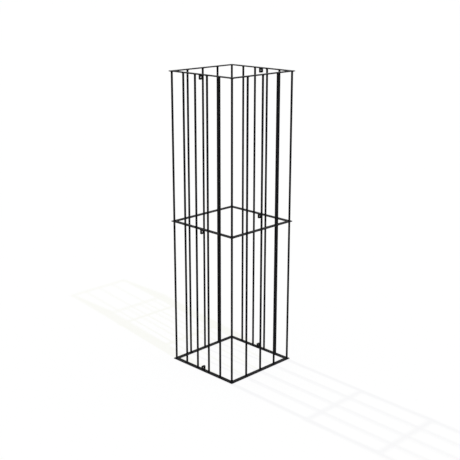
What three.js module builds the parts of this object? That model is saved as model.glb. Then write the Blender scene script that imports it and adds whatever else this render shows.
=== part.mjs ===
import * as THREE from "three";

// A square tree guard, welded from flat and round steel bar in two halves that bolt together round a tree.
// Millimetres, +Z up. The origin is on the ground in the middle of the guard. The halves meet at x = 0.
// The front is +X, and left and right are -Y and +Y, as seen by someone who stands in front.

// Whole guard, over the outer edges of its hoops
const guardWidth = 500;
const guardDepth = 500;
const guardHeight = 1746;

// Flat bar of the three hoops, laid flat
const flatWidth = 25;
const flatThickness = 5;
const middleHoopShare = 0.5;

// Arrises of every flat piece, broken by rolling, or by dressing after it is cut
const arrisBreak = 0.5;

// Round upright bars, which stand on the bottom hoop, pass through the middle one and end under the top one
const barDiameter = 12;
const barsPerWholeSide = 3;
const barsPerHalfSide = 2;

// Lugs at the cut ends of the hoops, as wide as the flat bar, with a hole at their middle for a 12 mm bolt
const lugThickness = 5;
const lugReach = 25;
const lugCornerRadius = 3;
const boltHoleDiameter = 13;
const boltHoleShare = 0.5;

// Gaps: between the halves, at the root of each mitre weld, and round a bar in its punched hole
const splitGap = 0.3;
const mitreGap = 0.3;
const barClearance = 0.3;

// Facets of a full circle
const circleFacets = 24;

// Black powder coat
const coatColour = 0x1a1a1b;
const coatRoughness = 0.42;
const coatMetalness = 0;

// Centre lines of the hoops, which carry the bars
const centreX = (guardWidth - flatWidth) / 2;
const centreY = (guardDepth - flatWidth) / 2;
const barRadius = barDiameter / 2;
const punchRadius = barRadius + barClearance;

// A lug reaches up from the bottom hoop, and hangs down from the other two.
const levels = [
  { name: "bottom", underside: 0, punched: false, lugDirection: 1 },
  {
    name: "middle",
    underside: (guardHeight - flatThickness) * middleHoopShare,
    punched: true,
    lugDirection: -1,
  },
  { name: "top", underside: guardHeight - flatThickness, punched: false, lugDirection: -1 },
];

// The back half is the front half turned round, so its left and right change places.
const halves = [
  { name: "front", turn: 0, sides: { left: "left", right: "right" } },
  { name: "back", turn: Math.PI, sides: { left: "right", right: "left" } },
];

// The bars stand at equal steps. A split side has an odd number of steps, so the lugs get the middle one.
const wholeSideStep = (2 * centreY) / (barsPerWholeSide + 1);
const splitSideStep = (2 * centreX) / (2 * barsPerHalfSide + 1);
const wholeSideBars = steps(barsPerWholeSide, wholeSideStep, -centreY);
const halfSideBars = steps(barsPerHalfSide, -splitSideStep, centreX);

function steps(count, step, start) {
  return Array.from({ length: count }, (_, i) => start + (i + 1) * step);
}

function coated(name, geometry) {
  const coat = new THREE.MeshStandardMaterial({
    color: coatColour,
    roughness: coatRoughness,
    metalness: coatMetalness,
  });
  const mesh = new THREE.Mesh(geometry, coat);
  mesh.name = name;
  return mesh;
}

// Points round a centre, from one angle to another, each facet as long as one of a full circle's.
function arcPoints(x, y, radius, from, to) {
  const count = Math.ceil((Math.abs(to - from) / (2 * Math.PI)) * circleFacets);
  return Array.from({ length: count + 1 }, (_, i) => {
    const angle = from + ((to - from) * i) / count;
    return new THREE.Vector2(x + radius * Math.cos(angle), y + radius * Math.sin(angle));
  });
}

// A flat plate, from its outline drawn anticlockwise and the places of its round holes, with broken arrises.
function plate(outline, holes, holeRadius, thickness) {
  const shape = new THREE.Shape(outline);
  shape.holes = holes.map(([x, y]) => new THREE.Path(arcPoints(x, y, holeRadius, 2 * Math.PI, 0).slice(1)));
  const geometry = new THREE.ExtrudeGeometry(shape, {
    depth: thickness - 2 * arrisBreak,
    bevelThickness: arrisBreak,
    bevelSize: arrisBreak,
    bevelOffset: -arrisBreak,
    bevelSegments: 1,
  });
  return geometry.translate(0, 0, arrisBreak);
}

// One end of a rail's outline, drawn anticlockwise. The rail lies along x with its outer edge at +y, and way
// is +1 at its high end and -1 at its low end. A mitred end runs through the corner bar's centre at 45
// degrees, set back by half the root gap, and a punched rail has its half of the corner bar's hole there.
function railEnd(end, way, punched) {
  const slant = end.mitred ? flatWidth / 2 : 0;
  const setback = end.mitred ? mitreGap / Math.SQRT2 : 0;
  const inner = new THREE.Vector2(end.at - way * (slant + setback), -flatWidth / 2);
  const outer = new THREE.Vector2(end.at + way * (slant - setback), flatWidth / 2);
  const [first, last] = way > 0 ? [inner, outer] : [outer, inner];
  if (!end.mitred || !punched) {
    return [first, last];
  }
  const intoRail = Math.PI / 2 + (way * Math.PI) / 4;
  const halfSweep = Math.acos(mitreGap / 2 / punchRadius);
  const notch = arcPoints(end.at, 0, punchRadius, intoRail + halfSweep, intoRail - halfSweep);
  return [first, ...notch, last];
}

function railGeometry(low, high, barPlaces, punched) {
  const outline = [...railEnd(high, 1, punched), ...railEnd(low, -1, punched)];
  const holes = punched ? barPlaces.map((at) => [at, 0]) : [];
  return plate(outline, holes, punchRadius, flatThickness);
}

// The rail along the whole side: mitred at both ends, and turned so that its outer edge faces +X.
function wholeSideRail(name, level) {
  const geometry = railGeometry(
    { at: -centreY, mitred: true },
    { at: centreY, mitred: true },
    wholeSideBars,
    level.punched,
  );
  const rail = coated(name, geometry);
  rail.rotation.z = -Math.PI / 2;
  rail.position.x = centreX;
  return rail;
}

// A rail along half of a split side, from the mitre to the square cut where the halves meet.
function halfSideRail(name, level, side) {
  const corner = { at: side * centreX, mitred: true };
  const cut = { at: (side * splitGap) / 2, mitred: false };
  const [low, high] = side > 0 ? [cut, corner] : [corner, cut];
  const barPlaces = halfSideBars.map((at) => side * at);
  const rail = coated(name, railGeometry(low, high, barPlaces, level.punched));
  rail.rotation.z = side > 0 ? 0 : Math.PI;
  rail.position.y = side * centreY;
  return rail;
}

// A lug stands square to its rail, flush with the cut end and both edges, with its free corners rounded.
// The outline of a hanging lug is that of a standing one, turned half round in its own plane.
function lug(name, level, side) {
  const up = level.lugDirection;
  const turn = up > 0 ? 0 : Math.PI;
  const half = flatWidth / 2;
  const roundedX = up * (half - lugCornerRadius);
  const roundedY = up * (lugReach - lugCornerRadius);
  const outline = [
    new THREE.Vector2(-up * half, 0),
    new THREE.Vector2(up * half, 0),
    ...arcPoints(roundedX, roundedY, lugCornerRadius, turn, turn + Math.PI / 2),
    ...arcPoints(-roundedX, roundedY, lugCornerRadius, turn + Math.PI / 2, turn + Math.PI),
  ];
  const boltHoles = [[0, up * lugReach * boltHoleShare]];
  const mesh = coated(name, plate(outline, boltHoles, boltHoleDiameter / 2, lugThickness));
  mesh.rotation.set(Math.PI / 2, 0, Math.PI / 2, "ZYX");
  mesh.position.set(splitGap / 2, side * centreY, up > 0 ? flatThickness : 0);
  return mesh;
}

function bar(name, x, y) {
  const length = guardHeight - 2 * flatThickness;
  const geometry = new THREE.CylinderGeometry(barRadius, barRadius, length, circleFacets);
  const mesh = coated(name, geometry);
  mesh.rotation.x = Math.PI / 2;
  mesh.position.set(x, y, guardHeight / 2);
  return mesh;
}

// Half of a hoop: the whole side's rail, two half rails, and a lug at the cut end of each.
function halfHoop(half, level) {
  const hoop = new THREE.Group();
  hoop.position.z = level.underside;
  hoop.add(wholeSideRail(`${level.name}_${half.name}_rail`, level));
  for (const [local, side] of [["left", -1], ["right", 1]]) {
    const start = `${level.name}_${half.name}_${half.sides[local]}`;
    hoop.add(halfSideRail(`${start}_rail`, level, side));
    hoop.add(lug(`${start}_lug`, level, side));
  }
  return hoop;
}

function uprights(half) {
  const group = new THREE.Group();
  wholeSideBars.forEach((y, i) => group.add(bar(`${half.name}_bar_${i + 1}`, centreX, y)));
  for (const [local, side] of [["left", -1], ["right", 1]]) {
    const start = `${half.name}_${half.sides[local]}`;
    group.add(bar(`${start}_corner_bar`, centreX, side * centreY));
    halfSideBars.forEach((x, i) => group.add(bar(`${start}_bar_${i + 1}`, x, side * centreY)));
  }
  return group;
}

const guard = new THREE.Group();
for (const half of halves) {
  const group = new THREE.Group();
  group.rotation.z = half.turn;
  for (const level of levels) {
    group.add(halfHoop(half, level));
  }
  group.add(uprights(half));
  guard.add(group);
}

export default guard;
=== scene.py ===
import math

import bmesh
import bpy
import numpy as np
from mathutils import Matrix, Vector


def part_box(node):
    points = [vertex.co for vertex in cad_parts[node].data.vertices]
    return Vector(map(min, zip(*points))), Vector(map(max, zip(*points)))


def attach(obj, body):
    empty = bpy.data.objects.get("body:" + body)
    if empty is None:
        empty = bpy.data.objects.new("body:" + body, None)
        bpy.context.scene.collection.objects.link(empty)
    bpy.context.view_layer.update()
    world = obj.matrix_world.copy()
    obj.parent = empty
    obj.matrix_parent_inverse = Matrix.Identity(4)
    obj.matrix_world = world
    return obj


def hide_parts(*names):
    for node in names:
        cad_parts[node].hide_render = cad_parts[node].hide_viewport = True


# A square tree guard of black coated steel, with a trace of dust on it, on a white studio floor.
# Metres, +Z up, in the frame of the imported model: the halves meet at x = 0, and left is -Y.
# Every steel piece is drawn again with rolled edges and round holes, and the welds are added.

mm = 0.001
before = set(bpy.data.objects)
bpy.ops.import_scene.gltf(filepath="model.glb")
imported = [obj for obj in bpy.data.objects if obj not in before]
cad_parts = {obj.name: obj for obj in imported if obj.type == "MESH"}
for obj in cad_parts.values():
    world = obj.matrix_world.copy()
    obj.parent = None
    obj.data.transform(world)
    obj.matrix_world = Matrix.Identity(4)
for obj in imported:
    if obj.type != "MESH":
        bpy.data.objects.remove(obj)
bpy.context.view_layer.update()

halves = {"front": 1, "back": -1}  # along X from the split
sides = {"left": -1, "right": 1}  # along Y
hoops = ("bottom", "middle", "top")


def nodeCentre(name):
    low, high = np.array(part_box(name))
    return (low + high) / 2


def nodeSize(name):
    low, high = np.array(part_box(name))
    return high - low


# The guard's own sizes, read from the frame
cornerX, cornerY = nodeCentre("front_right_corner_bar")[:2]
barRadius = nodeSize("front_bar_1")[0] / 2
flatWidth = nodeSize("bottom_front_rail")[0]
flatThickness = nodeSize("bottom_front_rail")[2]
lugThickness, lugWidth, lugReach = nodeSize("top_front_left_lug")
splitGap = 2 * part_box("top_front_left_lug")[0][0]
hoopHeights = {hoop: nodeCentre(f"{hoop}_front_rail")[2] for hoop in hoops}
print(f"sizes: flat {flatWidth / mm:.1f} x {flatThickness / mm:.1f} mm, bar {2 * barRadius / mm:.1f} mm")

# Grids of points become one closed mesh

meshing = {
    "mergeWithin": 0.002 * mm,
    "shortestEdge": 0.001 * mm,
}


# A sheet of quads. Points is rows x columns x 3, and along and arris go with each point: along is its place
# on the surface as two distances, along the steel and across it, and arris is 1 on a rounded edge and 0 on
# an open face.
def sheet(points, along, arris):
    rows, columns = points.shape[:2]
    return {
        "points": points.reshape(-1, 3),
        "along": np.broadcast_to(along, (rows, columns, 2)).reshape(-1, 2),
        "arris": np.broadcast_to(arris, (rows, columns)).reshape(-1),
        "size": (rows, columns),
    }


# The quads of a sheet, numbered row by row. Each joins a point, the next one in its row, and the two below.
def sheetQuads(rows, columns):
    first = np.arange(rows * columns).reshape(rows, columns)[:-1, :-1].reshape(-1, 1)
    return first + np.array([0, 1, columns + 1, columns])


# Faces that meet at more than sharpAbove degrees keep a sharp edge between them.
def buildPiece(name, sheets, material, body, replaced=None, sharpAbove=35):
    points = np.concatenate([part["points"] for part in sheets])
    starts = np.cumsum([0] + [len(part["points"]) for part in sheets[:-1]])
    quads = np.concatenate([sheetQuads(*part["size"]) + start for part, start in zip(sheets, starts)])
    arris = np.concatenate([part["arris"] for part in sheets])
    along = np.concatenate([part["along"] for part in sheets])[quads.reshape(-1)]
    mesh = bpy.data.meshes.new(name)
    mesh.from_pydata(points, [], quads)
    arrisData = mesh.attributes.new("arris", "FLOAT", "POINT").data
    arrisData.foreach_set("value", arris.astype(np.float32))
    mesh.uv_layers.new(name="along").data.foreach_set("uv", along.astype(np.float32).reshape(-1))
    closeMesh(mesh)
    mesh.polygons.foreach_set("use_smooth", [True] * len(mesh.polygons))
    mesh.set_sharp_from_angle(angle=math.radians(sharpAbove))
    mesh.materials.append(material)
    piece = bpy.data.objects.new(name, mesh)
    bpy.context.scene.collection.objects.link(piece)
    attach(piece, body)
    if replaced:
        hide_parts(replaced)


# Sheets meet where their points coincide. What is still open then, such as the end of a rail, is flat, and
# is filled.
def closeMesh(mesh):
    solid = bmesh.new()
    solid.from_mesh(mesh)
    bmesh.ops.remove_doubles(solid, verts=solid.verts, dist=meshing["mergeWithin"])
    bmesh.ops.dissolve_degenerate(solid, edges=solid.edges, dist=meshing["shortestEdge"])
    openEdges = [edge for edge in solid.edges if edge.is_boundary]
    if openEdges:
        ends = bmesh.ops.holes_fill(solid, edges=openEdges, sides=0)["faces"]
        bmesh.ops.triangulate(solid, faces=ends, ngon_method="BEAUTY")
    bmesh.ops.recalc_face_normals(solid, faces=solid.faces)
    solid.to_mesh(mesh)
    solid.free()


# Materials: one black coat over flat steel, round steel and welds

coat = {
    "colour": (0.011, 0.011, 0.0115, 1),
    "specularLevel": 0.04,  # low, so that flat faces stay dark in a white room
    "roughness": 0.50,
    "roughnessSpread": 0.05,  # more or less than that, in wide clouds
    "cloudScale": 9.0,
    "cloudRange": (0.3, 0.7),
    "dustyRoughness": 0.3,  # added where dust lies
    "thinRoughness": 0.08,  # taken off where the coat is thin
}

orangePeel = {
    "size": 2.2 * mm,
    "depth": 0.055 * mm,
    "fineness": 3.0,  # how many fine lumps are as long as a large one
    "largeShare": 0.75,
}

thinEdge = {
    "colour": (0.024, 0.024, 0.025, 1),  # where the coat drew back from an arris
    "patchScale": 55.0,
    "patchRange": (0.35, 0.68),
    "leastPatch": 0.15,
}

dust = {
    "colour": (0.060, 0.058, 0.054, 1),
    "facingRange": (0.55, 0.98),  # Z of the normal where dust starts to lie, and where it all lies
    "cloudScale": 26.0,
    "cloudRange": (0.38, 0.72),
    "leastCloud": 0.1,
    "grainScale": 1400.0,
    "grainRange": (0.42, 0.66),
    "leastGrain": 0.35,
}

rollingMarks = {
    "size": 0.9 * mm,
    "depth": 0.012 * mm,
    "stretch": 40,  # how many times longer than wide
}

vector, number, colour = "NodeSocketVector", "NodeSocketFloat", "NodeSocketColor"


def newGroup(name, inputs, outputs):
    group = bpy.data.node_groups.new(name, "ShaderNodeTree")
    for socket, kind in inputs:
        group.interface.new_socket(socket, in_out="INPUT", socket_type=kind)
    for socket, kind in outputs:
        group.interface.new_socket(socket, in_out="OUTPUT", socket_type=kind)
    return group, group.nodes.new("NodeGroupInput"), group.nodes.new("NodeGroupOutput")


# A socket takes a plain value, or a link from another node.
def feed(tree, socket, value):
    if isinstance(value, bpy.types.NodeSocket):
        tree.links.new(value, socket)
    else:
        socket.default_value = value


def mathNode(tree, operation, first, second, clamp=False):
    node = tree.nodes.new("ShaderNodeMath")
    node.operation = operation
    node.use_clamp = clamp
    feed(tree, node.inputs[0], first)
    feed(tree, node.inputs[1], second)
    return node.outputs[0]


# Turns one range of a value into another, and holds it there.
def rangeNode(tree, value, given, wanted):
    node = tree.nodes.new("ShaderNodeMapRange")
    feed(tree, node.inputs["Value"], value)
    for socket, end in zip(("From Min", "From Max", "To Min", "To Max"), (*given, *wanted)):
        node.inputs[socket].default_value = end
    return node.outputs["Result"]


def noiseNode(tree, coordinates, scale, detail, roughness=0.5):
    node = tree.nodes.new("ShaderNodeTexNoise")
    feed(tree, node.inputs["Vector"], coordinates)
    feed(tree, node.inputs["Scale"], scale)
    node.inputs["Detail"].default_value = detail
    node.inputs["Roughness"].default_value = roughness
    return node.outputs["Fac"]


# The two colours are inputs 6 and 7, and their mix is output 2. The node has sockets of the same names for
# other kinds of value.
def mixColours(tree, factor, first, second):
    node = tree.nodes.new("ShaderNodeMix")
    node.data_type = "RGBA"
    feed(tree, node.inputs["Factor"], factor)
    feed(tree, node.inputs[6], first)
    feed(tree, node.inputs[7], second)
    return node.outputs[2]


# Orange peel: a noise of large lumps and a noise of fine ones, added by their shares
def makePeelGroup():
    group, given, made = newGroup(
        "Orange Peel",
        [("Vector", vector), ("Peel Size", number)],
        [("Height", number)],
    )
    largeScale = mathNode(group, "DIVIDE", 1.0, given.outputs["Peel Size"])
    fineScale = mathNode(group, "MULTIPLY", largeScale, orangePeel["fineness"])
    large = noiseNode(group, given.outputs["Vector"], largeScale, detail=1.0)
    fine = noiseNode(group, given.outputs["Vector"], fineScale, detail=1.0)
    large = mathNode(group, "MULTIPLY", large, orangePeel["largeShare"])
    fine = mathNode(group, "MULTIPLY", fine, 1 - orangePeel["largeShare"])
    height = mathNode(group, "ADD", large, fine)
    group.links.new(height, made.inputs["Height"])
    return group


# Edge thinning: the arris mask, broken up by a noise, so that the coat is thin in patches along an edge
def makeEdgeGroup():
    group, given, made = newGroup(
        "Edge Thinning",
        [("Vector", vector), ("Arris", number), ("Amount", number),
         ("Colour", colour), ("Thin Colour", colour)],
        [("Colour", colour), ("Mask", number)],
    )
    noise = noiseNode(group, given.outputs["Vector"], thinEdge["patchScale"], detail=4.0, roughness=0.6)
    patches = rangeNode(group, noise, thinEdge["patchRange"], (thinEdge["leastPatch"], 1.0))
    onEdges = mathNode(group, "MULTIPLY", given.outputs["Arris"], patches)
    mask = mathNode(group, "MULTIPLY", onEdges, given.outputs["Amount"], clamp=True)
    mixed = mixColours(group, mask, given.outputs["Colour"], given.outputs["Thin Colour"])
    group.links.new(mixed, made.inputs["Colour"])
    group.links.new(mask, made.inputs["Mask"])
    return group


# Settled dust: it lies on what faces up, in clouds of fine grains
def makeDustGroup():
    group, given, made = newGroup(
        "Settled Dust",
        [("Vector", vector), ("Amount", number), ("Colour", colour), ("Dust Colour", colour)],
        [("Colour", colour), ("Mask", number)],
    )
    normal = group.nodes.new("ShaderNodeNewGeometry").outputs["Normal"]
    split = group.nodes.new("ShaderNodeSeparateXYZ")
    group.links.new(normal, split.inputs["Vector"])
    facing = rangeNode(group, split.outputs["Z"], dust["facingRange"], (0.0, 1.0))
    cloudNoise = noiseNode(group, given.outputs["Vector"], dust["cloudScale"], detail=5.0, roughness=0.62)
    clouds = rangeNode(group, cloudNoise, dust["cloudRange"], (dust["leastCloud"], 1.0))
    grainNoise = noiseNode(group, given.outputs["Vector"], dust["grainScale"], detail=2.0)
    grains = rangeNode(group, grainNoise, dust["grainRange"], (dust["leastGrain"], 1.0))
    settled = mathNode(group, "MULTIPLY", facing, clouds)
    amount = mathNode(group, "MULTIPLY", grains, given.outputs["Amount"])
    mask = mathNode(group, "MULTIPLY", settled, amount, clamp=True)
    mixed = mixColours(group, mask, given.outputs["Colour"], given.outputs["Dust Colour"])
    group.links.new(mixed, made.inputs["Colour"])
    group.links.new(mask, made.inputs["Mask"])
    return group


# Rolling marks: a noise drawn out along the steel, on the piece's own map of it
def makeRollGroup():
    group, given, made = newGroup(
        "Rolling Marks",
        [("Along", vector), ("Mark Size", number)],
        [("Height", number)],
    )
    stretch = group.nodes.new("ShaderNodeVectorMath")
    stretch.operation = "MULTIPLY"
    stretch.inputs[1].default_value = (1 / rollingMarks["stretch"], 1, 1)
    group.links.new(given.outputs["Along"], stretch.inputs[0])
    scale = mathNode(group, "DIVIDE", 1.0, given.outputs["Mark Size"])
    height = noiseNode(group, stretch.outputs["Vector"], scale, detail=2.0)
    group.links.new(height, made.inputs["Height"])
    return group


peelGroup = makePeelGroup()
edgeGroup = makeEdgeGroup()
dustGroup = makeDustGroup()
rollGroup = makeRollGroup()


# A group in a material's tree. Inputs are given by name, with _ for a space.
def useGroup(tree, group, **given):
    node = tree.nodes.new("ShaderNodeGroup")
    node.node_tree = group
    for socket, value in given.items():
        feed(tree, node.inputs[socket.replace("_", " ")], value)
    return node


# What differs between steels is how much thin edge and dust shows, and how uneven the surface is.
def makeCoat(name, thinAmount, dustAmount, rollShare, peelShare):
    material = bpy.data.materials.new(name)
    material.use_nodes = True
    tree = material.node_tree
    shader = tree.nodes["Principled BSDF"]
    shader.inputs["Specular IOR Level"].default_value = coat["specularLevel"]
    place = tree.nodes.new("ShaderNodeTexCoord").outputs["Object"]
    along = tree.nodes.new("ShaderNodeUVMap")
    along.uv_map = "along"
    arris = tree.nodes.new("ShaderNodeAttribute")
    arris.attribute_name = "arris"

    edge = useGroup(tree, edgeGroup, Vector=place, Arris=arris.outputs["Fac"], Amount=thinAmount,
                    Colour=coat["colour"], Thin_Colour=thinEdge["colour"])
    dusty = useGroup(tree, dustGroup, Vector=place, Amount=dustAmount, Colour=edge.outputs["Colour"],
                     Dust_Colour=dust["colour"])
    tree.links.new(dusty.outputs["Colour"], shader.inputs["Base Color"])

    clouds = noiseNode(tree, place, coat["cloudScale"], detail=3.0)
    least, most = coat["roughness"] - coat["roughnessSpread"], coat["roughness"] + coat["roughnessSpread"]
    roughness = rangeNode(tree, clouds, coat["cloudRange"], (least, most))
    fromDust = mathNode(tree, "MULTIPLY", dusty.outputs["Mask"], coat["dustyRoughness"])
    fromEdge = mathNode(tree, "MULTIPLY", edge.outputs["Mask"], coat["thinRoughness"])
    roughness = mathNode(tree, "ADD", roughness, fromDust)
    roughness = mathNode(tree, "SUBTRACT", roughness, fromEdge, clamp=True)
    tree.links.new(roughness, shader.inputs["Roughness"])

    peel = useGroup(tree, peelGroup, Vector=place, Peel_Size=orangePeel["size"])
    roll = useGroup(tree, rollGroup, Along=along.outputs["UV"], Mark_Size=rollingMarks["size"])
    peelDepth = orangePeel["depth"] * peelShare
    rollDepth = rollingMarks["depth"] * rollShare
    depth = peelDepth + rollDepth
    peelHeight = mathNode(tree, "MULTIPLY", peel.outputs["Height"], peelDepth / depth)
    rollHeight = mathNode(tree, "MULTIPLY", roll.outputs["Height"], rollDepth / depth)
    bump = tree.nodes.new("ShaderNodeBump")
    bump.inputs["Strength"].default_value = 1.0
    bump.inputs["Distance"].default_value = depth
    tree.links.new(mathNode(tree, "ADD", peelHeight, rollHeight), bump.inputs["Height"])
    tree.links.new(bump.outputs["Normal"], shader.inputs["Normal"])
    return material


flatCoat = makeCoat("coated_flat_steel", thinAmount=0.7, dustAmount=0.15, rollShare=1.0, peelShare=1.0)
barCoat = makeCoat("coated_round_steel", thinAmount=0.0, dustAmount=0.0, rollShare=1.6, peelShare=1.0)
weldCoat = makeCoat("coated_weld", thinAmount=0.5, dustAmount=0.12, rollShare=0.0, peelShare=1.5)
print("materials: three coats")

# Round bars

bar = {"facets": 64, "rings": 9}


# A straight round bar: at each height a circle of the bar's radius, closed by a flat disc at both ends
def barSheet(centre, length):
    turn = np.linspace(0, 2 * np.pi, bar["facets"] + 1)
    heights = np.linspace(-length / 2, length / 2, bar["rings"])
    heights = np.concatenate([heights[:1], heights, heights[-1:]])
    radii = np.full(len(heights), barRadius)
    radii[[0, -1]] = 0
    x = centre[0] + radii[:, None] * np.cos(turn)
    y = centre[1] + radii[:, None] * np.sin(turn)
    z = centre[2] + heights[:, None] + 0 * turn
    along = np.stack([z, barRadius * turn + 0 * z], -1)
    return sheet(np.stack([x, y, z], -1), along, 0.0)


barNames = {
    half: [f"{half}_bar_{i}" for i in (1, 2, 3)]
    + [f"{half}_{side}_{what}" for side in sides for what in ("corner_bar", "bar_1", "bar_2")]
    for half in halves
}
for half in halves:
    for name in barNames[half]:
        length = nodeSize(name)[2]
        buildPiece(f"coated_{name}", [barSheet(nodeCentre(name), length)], barCoat, f"{half}_half", name)
print("bars: made")

# Flat pieces: hoop rails and lugs

flat = {
    "arris": 0.6 * mm,  # radius of a rolled or dressed edge
    "arrisSteps": 4,
    "arrisFade": 0.3 * mm,  # how far past an arris its thin coat has mostly gone
    "fadeMask": 0.35,  # what is left of it there
    "midEdgeMask": 0.45,  # on the open edge between two arrises
    "faceRow": 2.0 * mm,  # how far in from an edge the thin coat ends, and the plain face starts
    "cellSteps": 12,  # facets of a quarter of a punched hole
    "cellShares": (0, 0.45, 1),  # rows from a punched hole out to the square round it
    "punchClearance": 0.3 * mm,
    "mitreGap": 0.3 * mm,
}

# An arris is a quarter circle, from its face to its edge: how far in from the edge each of its points lies,
# and how far down from the face
arrisTurn = np.linspace(0, np.pi / 2, flat["arrisSteps"] + 1)
arrisInset = flat["arris"] * (1 - np.sin(arrisTurn))
arrisDrop = flat["arris"] * (1 - np.cos(arrisTurn))


# The way over an edge, from the upper face to the lower: how far in from the edge each row lies, its height
# above the middle of the plate, and its arris mask
def edgeRows(thickness, faceRow):
    inset = np.concatenate([[faceRow, flat["arris"] + flat["arrisFade"]], arrisInset])
    height = np.concatenate([[thickness / 2, thickness / 2], thickness / 2 - arrisDrop])
    mask = np.concatenate([[0.0, flat["fadeMask"]], np.ones(len(arrisTurn))])
    inset = np.concatenate([inset, [0.0], inset[::-1]])
    height = np.concatenate([height, [0.0], -height[::-1]])
    mask = np.concatenate([mask, [flat["midEdgeMask"]], mask[::-1]])
    return inset, height, mask


# The numbers and the directions of the points round a cell, from the start of one quarter to the start of
# another. Quarter 0 starts at 45 degrees.
def cellTurn(quarters):
    index = np.arange(quarters[0] * flat["cellSteps"], quarters[1] * flat["cellSteps"] + 1)
    return index, np.pi / 4 + index * (np.pi / 2) / flat["cellSteps"]


# A cell of a punched face: straight lines from a circle of the hole's radius out to a square, which is
# divided like it
def cellPoints(place, reach, radius, height, quarters):
    index, turn = cellTurn(quarters)
    side, share = np.divmod(index, flat["cellSteps"])
    share = (share / flat["cellSteps"])[:, None]
    corners = np.array([(1, 1), (-1, 1), (-1, -1), (1, -1)]) * reach
    square = corners[side % 4] * (1 - share) + corners[(side + 1) % 4] * share
    circle = radius * np.stack([np.cos(turn), np.sin(turn)], -1)
    outward = np.array(flat["cellShares"])[:, None, None]
    level = circle * (1 - outward) + square * outward + np.array([place, 0])
    return np.concatenate([level, np.full(level.shape[:2] + (1,), height)], -1)


# The wall of a punched hole: the same circle at both faces
def wallPoints(place, radius, quarters):
    turn = cellTurn(quarters)[1]
    circle = np.stack([place + radius * np.cos(turn), radius * np.sin(turn)], -1)
    circles = np.broadcast_to(circle, (2,) + circle.shape)
    heights = np.array([flatThickness / 2, -flatThickness / 2])[:, None, None]
    return np.concatenate([circles, heights + 0 * circles[..., :1]], -1)


# An end is a place along a rail, and its way is -1 at the low end and +1 at the high one. At width y, a
# mitred end lies at place + way * y, which is 45 degrees through the corner, and a cut one at its place.
def endAt(end, y):
    return end["place"] + end["way"] * y if end["mitred"] else end["place"] + 0 * y


# The columns that round a cut end over, like the rows of an edge. A mitred end has one column, which endAt
# moves to the mitre.
def endColumns(end):
    if end["mitred"]:
        return np.array([end["place"]])
    inset = np.concatenate([[flat["faceRow"], flat["arris"] + flat["arrisFade"]], arrisInset])
    columns = end["place"] - end["way"] * inset
    return columns if end["way"] > 0 else columns[::-1]


# A rail lies along x, in its own middle plane, with its outer edge at +y. Holes are the places of its
# punched holes, from low to high. The hole of a corner bar has the place of a mitred end.
def railSheets(low, high, holes):
    reach = flatWidth / 2 - flat["faceRow"]
    radius = barRadius + flat["punchClearance"]
    steps = flat["cellSteps"]
    faces = (flatThickness / 2, -flatThickness / 2)
    lowHole, highHole = low["place"] in holes, high["place"] in holes
    grids = []  # (points, arris mask)

    # A whole cell round each hole, and at a mitre the two quarters that lie on this rail
    for place in holes:
        quarters = (3, 5) if place == low["place"] else (0, 2) if place == high["place"] else (0, 4)
        for height in faces:
            grids.append((cellPoints(place, reach, radius, height, quarters), 0.0))
        grids.append((wallPoints(place, radius, quarters), 0.0))

    # Plain face, from an end or a cell to the next
    starts = [] if lowHole else [endColumns(low)]
    starts += [np.array([place + reach]) for place in holes if place != high["place"]]
    stops = [np.array([place - reach]) for place in holes if place != low["place"]]
    stops += [] if highHole else [endColumns(high)]
    y = np.linspace(-reach, reach, steps + 1)
    for i, (start, stop) in enumerate(zip(starts, stops)):
        x = np.concatenate([start, stop])[:, None] + 0 * y
        if i == 0 and not lowHole:
            x[0] = endAt(low, y)
        if i == len(starts) - 1 and not highHole:
            x[-1] = endAt(high, y)
        for height in faces:
            grids.append((np.stack([x, y + 0 * x, height + 0 * x], -1), 0.0))

    # The outer and the inner edge, with a column wherever a face has one. A corner's cell is beside the
    # outer edge alone.
    inset, heights, masks = edgeRows(flatThickness, flat["faceRow"])
    for edge in (1, -1):
        columns = [] if lowHole and edge > 0 else [endColumns(low)]
        for place in holes:
            if edge > 0 or place not in (low["place"], high["place"]):
                columns.append(np.linspace(place - reach, place + reach, steps + 1))
        columns += [] if highHole and edge > 0 else [endColumns(high)]
        rows = edge * (flatWidth / 2 - inset)
        x = np.concatenate(columns)[None, :] + 0 * rows[:, None]
        x[:, 0] = endAt(low, rows)
        x[:, -1] = endAt(high, rows)
        points = np.stack([x, rows[:, None] + 0 * x, heights[:, None] + 0 * x], -1)
        grids.append((points, masks[:, None] + 0 * x))
    return [trimmedSheet(points, mask, low, high) for points, mask in grids]


# Both ends are trimmed. A mitred one keeps half the gap from the mitre line. A cut one is rounded over:
# nearer to it than the arris radius, the faces and edges draw in by
# radius - sqrt(radius^2 - (radius - distance from the cut)^2).
def trimmedSheet(points, mask, low, high):
    x, y, z = (points[..., i].copy() for i in range(3))
    mask = mask + 0 * x
    radius = flat["arris"]
    for end in (low, high):
        way = end["way"]
        if end["mitred"]:
            x = way * np.minimum(way * x, way * endAt(end, y) - flat["mitreGap"] / math.sqrt(2))
            continue
        fromCut = way * (end["place"] - x)
        drawIn = radius - np.sqrt(np.maximum(radius**2 - np.maximum(radius - fromCut, 0) ** 2, 0))
        y = np.clip(y, drawIn - flatWidth / 2, flatWidth / 2 - drawIn)
        z = np.clip(z, drawIn - flatThickness / 2, flatThickness / 2 - drawIn)
        fade = (flat["faceRow"] - fromCut) / (flat["faceRow"] - radius)
        mask = np.maximum(mask, np.clip(fade, 0, 1))
    return sheet(np.stack([x, y, z], -1), np.stack([x, y + z], -1), mask)


# Places along a rail are compared with each other, so they are rounded to a ten-thousandth of a millimetre.
def roundedPlace(value):
    return round(float(value), 7)


# The level direction of a rail's own x, where outward is the way that its outer edge faces
def alongRail(outward):
    return np.array([outward[1], -outward[0]])


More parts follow.
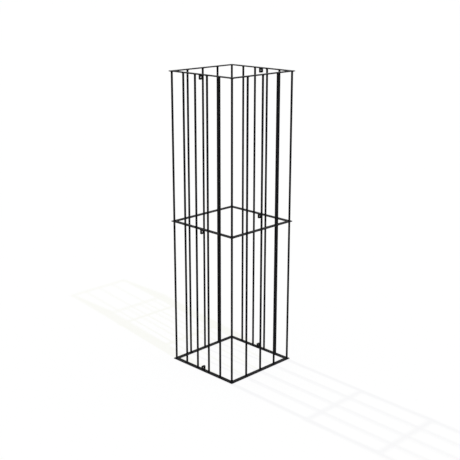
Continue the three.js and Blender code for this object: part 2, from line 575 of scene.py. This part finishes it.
# Where along a rail those bars of its half are that stand on its centre line
def barPlaces(half, outward, distance):
    centres = [nodeCentre(name)[:2] for name in barNames[half]]
    onRail = [centre for centre in centres if abs(centre @ np.array(outward) - distance) < barRadius]
    return sorted(roundedPlace(centre @ alongRail(outward)) for centre in onRail)


# A rail is made in its own plane and then moved, until its centre line is at a distance from the guard's
# middle.
def buildRail(name, half, hoop, outward, distance, low, high):
    holes = barPlaces(half, outward, distance) if hoop == "middle" else []
    sheets = railSheets(low, high, holes)
    along = alongRail(outward)
    for part in sheets:
        x, y, z = part["points"].T
        part["points"] = np.stack([
            along[0] * x + outward[0] * (distance + y),
            along[1] * x + outward[1] * (distance + y),
            hoopHeights[hoop] + z,
        ], -1)
    buildPiece(f"coated_{name}", sheets, flatCoat, f"{half}_half", name)


for half, x in halves.items():
    for hoop in hoops:
        low, high = ({"place": way * roundedPlace(cornerY), "way": way, "mitred": True} for way in (-1, 1))
        buildRail(f"{hoop}_{half}_rail", half, hoop, (x, 0), cornerX, low, high)
        for side, y in sides.items():
            way = x * y  # which end of the rail, along its own x, is at the corner
            corner = {"place": way * roundedPlace(cornerX), "way": way, "mitred": True}
            cut = {"place": way * splitGap / 2, "way": -way, "mitred": False}
            low, high = (cut, corner) if way > 0 else (corner, cut)
            buildRail(f"{hoop}_{half}_{side}_rail", half, hoop, (0, y), cornerY, low, high)
print("rails: made")

lug = {
    "holeDiameter": 13.0 * mm,
    "holeShare": 0.5,  # of the reach, from the rail
    "cornerRadius": 3.0 * mm,
    "faceRow": 1.5 * mm,
    "sideSteps": 8,
    "cornerSteps": 6,
}


# A rectangle with its two far corners rounded, drawn in by inset: each corner is a quarter circle whose
# radius shrinks with the inset, and the sides between are divided evenly. U runs across it, and v up from
# its base.
def lugOutline(inset):
    radii = np.array([lug["cornerRadius"], lug["cornerRadius"], 0.0, 0.0])
    radii = np.maximum(radii - inset, 0)
    ways = np.array([(1, 1), (-1, 1), (-1, 0), (1, 0)])
    quarter = np.linspace(0, np.pi / 2, lug["cornerSteps"] + 1)
    arcs = []
    for i, (radius, (wayU, wayV)) in enumerate(zip(radii, ways)):
        centreU = wayU * (lugWidth / 2 - inset - radius)
        centreV = lugReach - inset - radius if wayV else inset + radius
        turn = quarter + i * np.pi / 2
        arcs.append(np.stack([centreU + radius * np.cos(turn), centreV + radius * np.sin(turn)], -1))
    share = np.linspace(0, 1, lug["sideSteps"] + 1)[1:-1, None]
    parts = []
    for arc, following in zip(arcs, arcs[1:] + arcs[:1]):
        parts += [arc, arc[-1] * (1 - share) + following[0] * share]
    return np.concatenate(parts + [arcs[0][:1]])


# A drilled plate is a ring, all round which one section is carried: over the outer edge from one face to
# the other, then back over the edge of the hole, whose points lie in the directions of the outline's. W
# runs through its thickness.
def lugSheet(centre, up):
    inset, heights, masks = edgeRows(lugThickness, lug["faceRow"])
    holeCentre = np.array([0, lugReach * lug["holeShare"]])
    outer = np.stack([lugOutline(distance) for distance in inset])
    direction = lugOutline(0.0) - holeCentre
    direction /= np.linalg.norm(direction, axis=1)[:, None]
    radii = lug["holeDiameter"] / 2 + inset[::-1]
    inner = radii[:, None, None] * direction + holeCentre
    rings = np.concatenate([outer, inner, outer[:1]])
    u, v = rings[..., 0], rings[..., 1]
    w = np.concatenate([heights, heights[::-1], heights[:1]])[:, None] + 0 * u
    mask = np.concatenate([masks, masks[::-1], masks[:1]])[:, None] + 0 * u
    base = centre[2] - up * lugReach / 2
    points = np.stack([centre[0] + w, centre[1] + u, base + up * v], -1)
    return sheet(points, np.stack([v + w, u], -1), mask)


lugUp = {hoop: 1 if hoop == "bottom" else -1 for hoop in hoops}  # 1 where lugs stand up, -1 where they hang
for half in halves:
    for side in sides:
        for hoop in hoops:
            name = f"{hoop}_{half}_{side}_lug"
            sheets = [lugSheet(nodeCentre(name), lugUp[hoop])]
            buildPiece(f"coated_{name}", sheets, flatCoat, f"{half}_half", name)
print("lugs: made")

# Welds

weld = {
    "leg": 3.0 * mm,
    "sink": 0.15 * mm,  # how far a weld reaches into what it joins
    "bulgeShare": 0.17,  # of the leg, out from a straight face
    "unevenShare": 0.06,
    "lapShare": 0.14,  # how much a ring swells where it closes on its own start
    "lapAngle": 0.30,  # radians, about half the width of that swelling
    "endPower": 12,  # the higher, the shorter the ends of a straight weld
    "endShare": 0.02,  # what is left of the leg at its ends
    "faceSteps": 7,
    "sharpAbove": 60,  # degrees
    "seed": 11,
}

ripple = {
    "length": 1.7 * mm,
    "heightShare": 0.020,  # of the leg
    "points": 5,  # along each
    "lag": 1.5,  # radians, in the middle of the bead's face
    "wander": 1.1,  # radians
    "mean": 0.8,  # of the height, which comes and goes by the change
    "change": 0.35,
}

chance = np.random.default_rng(weld["seed"])


# Slow unevenness round a full turn or along a run: waves of 1, 2 and 3 counts, each as high as one over its
# count, with phases drawn by chance. Divided by about the most they add up to, it stays near -1 to 1.
def unevenness(turn, most=1.8):
    phases = chance.uniform(0, 2 * np.pi, 3)
    return sum(np.sin(count * turn + phase) / count for count, phase in zip((1, 2, 3), phases)) / most


# The section of a fillet weld between a flat (out) and an upright (rise), for each leg length given. With s
# from 0 at the flat to 1 at the upright, its face is a straight line that swells by sin(pi s) times the
# bulge and the ripple, and it closes behind, inside both.
def filletSection(legs, ripples):
    s = np.linspace(0, 1, weld["faceSteps"] + 1)
    swell = np.sin(np.pi * s) * (weld["bulgeShare"] + ripple["heightShare"] * ripples)
    out = legs * (1 - s + swell)
    rise = legs * (s + swell)
    back = np.full(out.shape[:-1] + (1,), -weld["sink"])
    out = np.concatenate([back, out[..., :1], out, back, back], -1)
    rise = np.concatenate([back, back, rise, rise[..., -1:], back], -1)
    return out, rise


# Ripples along a weld: a wave of so many counts, unevenly spaced, that lags in the middle of the bead's
# face, so that each ripple is a crescent
def rippleWave(turn, count):
    lag = ripple["lag"] * np.sin(np.pi * np.linspace(0, 1, weld["faceSteps"] + 1))
    wave = np.cos(count * turn + ripple["wander"] * unevenness(turn) + lag)
    return wave * (ripple["mean"] + ripple["change"] * unevenness(turn))


# A fillet round a bar on a flat face, above it (up 1) or below it (up -1): the section is carried round a
# circle of the bar's radius. It swells over a small bell curve where it closes on its own start.
def ringSheet(centre, faceHeight, up):
    around = 2 * np.pi * (barRadius + weld["leg"] / 2)
    count = round(around / ripple["length"])
    turn = np.linspace(0, 2 * np.pi, ripple["points"] * count + 1)[:, None]
    lap = weld["lapShare"] * np.exp(-(((turn - np.pi) / weld["lapAngle"]) ** 2))
    legs = weld["leg"] * (1 + weld["unevenShare"] * unevenness(turn) + lap)
    out, rise = filletSection(legs, rippleWave(turn, count))
    start = chance.uniform(0, 2 * np.pi)
    radius = barRadius + out
    points = np.stack([
        centre[0] + radius * np.cos(turn + start),
        centre[1] + radius * np.sin(turn + start),
        faceHeight + up * rise,
    ], -1)
    return sheet(points, np.stack([out + rise, barRadius * turn + 0 * out], -1), 0.0)


# A straight fillet along Y at a lug's foot, which faces outWay along X. With t from -1 to 1 along it, its
# leg shrinks to the ends by sqrt(1 - |t|^endPower).
def runSheet(start, length, faceHeight, outWay, up):
    count = round(length / ripple["length"])
    share = np.linspace(0, 1, ripple["points"] * count + 1)[:, None]
    taper = np.sqrt(np.clip(1 - np.abs(2 * share - 1) ** weld["endPower"], 0, 1))
    legs = weld["leg"] * (1 + weld["unevenShare"] * unevenness(2 * np.pi * share))
    legs = legs * np.maximum(taper, weld["endShare"])
    out, rise = filletSection(legs, rippleWave(2 * np.pi * share, count))
    points = np.stack([
        start[0] + outWay * out,
        start[1] + length * share + 0 * out,
        faceHeight + up * rise,
    ], -1)
    return sheet(points, np.stack([length * share + 0 * out, out + rise], -1), 0.0)


for half, x in halves.items():
    body = f"{half}_half"
    for hoop in hoops:
        upperFace = hoopHeights[hoop] + flatThickness / 2
        lowerFace = hoopHeights[hoop] - flatThickness / 2
        rings = []
        for name in barNames[half]:
            centre = nodeCentre(name)
            if hoop != "top":
                rings.append(ringSheet(centre, upperFace, 1))
            if hoop != "bottom":
                rings.append(ringSheet(centre, lowerFace, -1))
        buildPiece(f"{hoop}_{half}_bar_welds", rings, weldCoat, body, sharpAbove=weld["sharpAbove"])
        up = lugUp[hoop]
        runs = []
        for side in sides:
            low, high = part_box(f"{hoop}_{half}_{side}_lug")
            start = (high[0] if x > 0 else low[0], low[1] + flat["arris"])
            length = lugWidth - 2 * flat["arris"]
            runs.append(runSheet(start, length, upperFace if up > 0 else lowerFace, x, up))
        buildPiece(f"{hoop}_{half}_lug_welds", runs, weldCoat, body, sharpAbove=weld["sharpAbove"])

seam = {
    "width": 5.0 * mm,
    "crown": 0.16 * mm,
    "flushDrop": 0.02 * mm,  # how far below the faces its sides lie
    "barStop": 6.5 * mm,  # from a corner bar's centre, under its own weld
    "edgeDrop": 0.04 * mm,  # how far its ends stay inside the hoop's edges
    "unevenShare": 0.25,
    "rippleShare": 0.12,
    "rippleLength": 2.0 * mm,
    "arrisMask": 0.2,
    "steps": 28,
    "acrossSteps": 8,
}


# A dressed weld along a mitre, from the corner bar out (way 1) or in (way -1) to the hoop's edges, which
# lie at way * tip - |across| along it. Its faces crown by 1 - (2 across / width)^2. At the edges it rounds
# over as the rails do, by a quarter circle, and its last row closes it at half the thickness.
def seamSheet(corner, height, way, upperCrown, lowerCrown):
    tip = flatWidth / math.sqrt(2)
    across = np.linspace(-1, 1, seam["acrossSteps"] + 1) * seam["width"] / 2
    edge = way * tip - np.abs(across)
    start = way * seam["barStop"]
    stop = edge - way * math.sqrt(2) * (flat["arris"] + flat["arrisFade"])
    share = np.linspace(0, 1, seam["steps"] + 1)[:, None]
    run = start + (stop - start) * share
    inset = np.concatenate([arrisInset, [0.0]])[:, None] + seam["edgeDrop"]
    along = np.concatenate([run, edge - way * math.sqrt(2) * inset])
    drop = np.concatenate([np.zeros(len(run)), arrisDrop, [flatThickness / 2]])[:, None]
    fade = np.concatenate([np.ones(len(run)), np.cos(arrisTurn), [0.0]])[:, None]
    ripples = np.cos(2 * np.pi * run[:, :1] / seam["rippleLength"])
    grow = 1 + seam["unevenShare"] * unevenness(np.pi * share) + seam["rippleShare"] * ripples
    grow = np.concatenate([grow, np.ones((len(arrisTurn) + 1, 1))])
    arch = (1 - (2 * across / seam["width"]) ** 2) * grow * fade
    faces = []
    for crown in (upperCrown, lowerCrown):
        face = flatThickness / 2 - drop + (crown + seam["flushDrop"] if crown else 0) * arch
        faces.append(np.maximum(face - seam["flushDrop"] * fade, 0))
    across = np.concatenate([across, across[::-1], across[:1]])
    along = np.concatenate([along, along[:, ::-1], along[:, :1]], -1)
    z = np.concatenate([faces[0], -faces[1][:, ::-1], faces[0][:, :1]], -1)
    outX, outY = np.sign(corner[0]) / math.sqrt(2), np.sign(corner[1]) / math.sqrt(2)
    x = corner[0] + along * outX - across * outY
    y = corner[1] + along * outY + across * outX
    points = np.stack([x, y, height + z], -1)
    return sheet(points, np.stack([along, across + 0 * along], -1), seam["arrisMask"])


# The guard's top and its underside are dressed flush, and the other faces of the seams are crowned.
for half in halves:
    for hoop in hoops:
        upperCrown = 0 if hoop == "top" else seam["crown"]
        lowerCrown = 0 if hoop == "bottom" else seam["crown"]
        corners = [nodeCentre(f"{half}_{side}_corner_bar") for side in sides]
        seams = [seamSheet(corner, hoopHeights[hoop], way, upperCrown, lowerCrown)
                 for corner in corners for way in (-1, 1)]
        buildPiece(f"{hoop}_{half}_mitre_welds", seams, weldCoat, f"{half}_half")
print("welds: made")

# Studio: a white floor that keeps the guard's two faint shadows, two soft suns and a plain white sky

studio = {
    "floorSize": 400.0,
    "floorDrop": 0.2 * mm,
    "floorPaint": 0.22,  # only the paint takes shadows, so it is dark, and they are faint
    "floorWhite": 1.004,
    "skyLight": (0.45, 0.45, 0.36),
    "coolSun": {"from": (0.781, -0.113, 1.0), "strength": 1.49, "colour": (0.55, 0.52, 1.0), "angle": 0.9},
    "warmSun": {"from": (-1.222, 0.043, 1.0), "strength": 1.40, "colour": (1.0, 1.0, 0.87), "angle": 1.0},
    "lampHeight": 4.0,  # where the suns are drawn, which doesn't change their light
}


# 1 for rays that are seen, straight from the camera or in gloss or through glass, and 0 for plain light
def seenRay(tree):
    path = tree.nodes.new("ShaderNodeLightPath")
    seen = mathNode(tree, "ADD", path.outputs["Is Camera Ray"], path.outputs["Is Glossy Ray"])
    return mathNode(tree, "ADD", seen, path.outputs["Is Transmission Ray"], clamp=True)


# What level paint sends back under the sky and both suns. A sun of strength s, at an angle t from the
# vertical, lights the floor by s cos t / pi of its colour.
def paintedLight():
    light = np.array(studio["skyLight"])
    for sun in (studio["coolSun"], studio["warmSun"]):
        share = sun["strength"] * sun["from"][2] / np.linalg.norm(sun["from"]) / math.pi
        light = light + share * np.array(sun["colour"])
    return studio["floorPaint"] * light


# Paint that keeps the shadows, and a glow, for rays that are seen, that makes up the rest of plain white
def makeFloor():
    mesh = bpy.data.meshes.new("floor")
    reach, height = studio["floorSize"] / 2, -studio["floorDrop"]
    corners = [(x * reach, y * reach, height) for x, y in ((-1, -1), (1, -1), (1, 1), (-1, 1))]
    mesh.from_pydata(corners, [], [(0, 1, 2, 3)])
    floor = bpy.data.objects.new("floor", mesh)
    bpy.context.scene.collection.objects.link(floor)
    material = bpy.data.materials.new("white_floor")
    material.use_nodes = True
    tree = material.node_tree
    tree.nodes.clear()
    output = tree.nodes.new("ShaderNodeOutputMaterial")
    paint = tree.nodes.new("ShaderNodeBsdfDiffuse")
    paint.inputs["Color"].default_value = (studio["floorPaint"],) * 3 + (1,)
    glow = tree.nodes.new("ShaderNodeEmission")
    glow.inputs["Color"].default_value = (*(studio["floorWhite"] - paintedLight()), 1)
    tree.links.new(seenRay(tree), glow.inputs["Strength"])
    both = tree.nodes.new("ShaderNodeAddShader")
    tree.links.new(paint.outputs["BSDF"], both.inputs[0])
    tree.links.new(glow.outputs["Emission"], both.inputs[1])
    tree.links.new(both.outputs["Shader"], output.inputs["Surface"])
    mesh.materials.append(material)


# White where it is seen, and the sky's light elsewhere
def makeSky():
    world = bpy.data.worlds.new("white_sky")
    bpy.context.scene.world = world
    world.use_nodes = True
    tree = world.node_tree
    skyColour = mixColours(tree, seenRay(tree), (*studio["skyLight"], 1), (1, 1, 1, 1))
    tree.links.new(skyColour, tree.nodes["Background"].inputs["Color"])


def makeSun(name, sun):
    lamp = bpy.data.lights.new(name, "SUN")
    lamp.energy = sun["strength"]
    lamp.color = sun["colour"]
    lamp.angle = math.radians(sun["angle"])
    lampObject = bpy.data.objects.new(name, lamp)
    x, y, z = sun["from"]
    lampObject.rotation_euler = (math.atan2(math.hypot(x, y), z), 0, math.atan2(y, x) + math.pi / 2)
    lampObject.location = (x, y, studio["lampHeight"])
    bpy.context.scene.collection.objects.link(lampObject)


makeFloor()
makeSky()
makeSun("cool_sun", studio["coolSun"])
makeSun("warm_sun", studio["warmSun"])

camera = {
    "lens": 71.16,  # mm, on a square frame as wide as the sensor
    "sensor": 36.0,
    "distance": 5.118,  # level, out from the guard's middle past its front left corner
    "aside": -0.0049,
    "height": 2.3137,
    "pitch": 16.280,  # degrees down
    "heading": 45.065,  # degrees round from +Y
    "sight": 1000,  # how far it sees
}


def makeCamera():
    lens = bpy.data.cameras.new("camera")
    lens.lens = camera["lens"]
    lens.sensor_width = camera["sensor"]
    lens.clip_end = camera["sight"]
    lensObject = bpy.data.objects.new("camera", lens)
    outX, outY = math.sqrt(0.5), -math.sqrt(0.5)
    lensObject.location = (
        camera["distance"] * outX - camera["aside"] * outY,
        camera["distance"] * outY + camera["aside"] * outX,
        camera["height"],
    )
    lensObject.rotation_euler = (math.radians(90 - camera["pitch"]), 0, math.radians(camera["heading"]))
    bpy.context.scene.collection.objects.link(lensObject)
    bpy.context.scene.camera = lensObject


makeCamera()
bpy.context.scene.view_settings.view_transform = "Standard"
print("studio: floor, sky, two suns and camera")
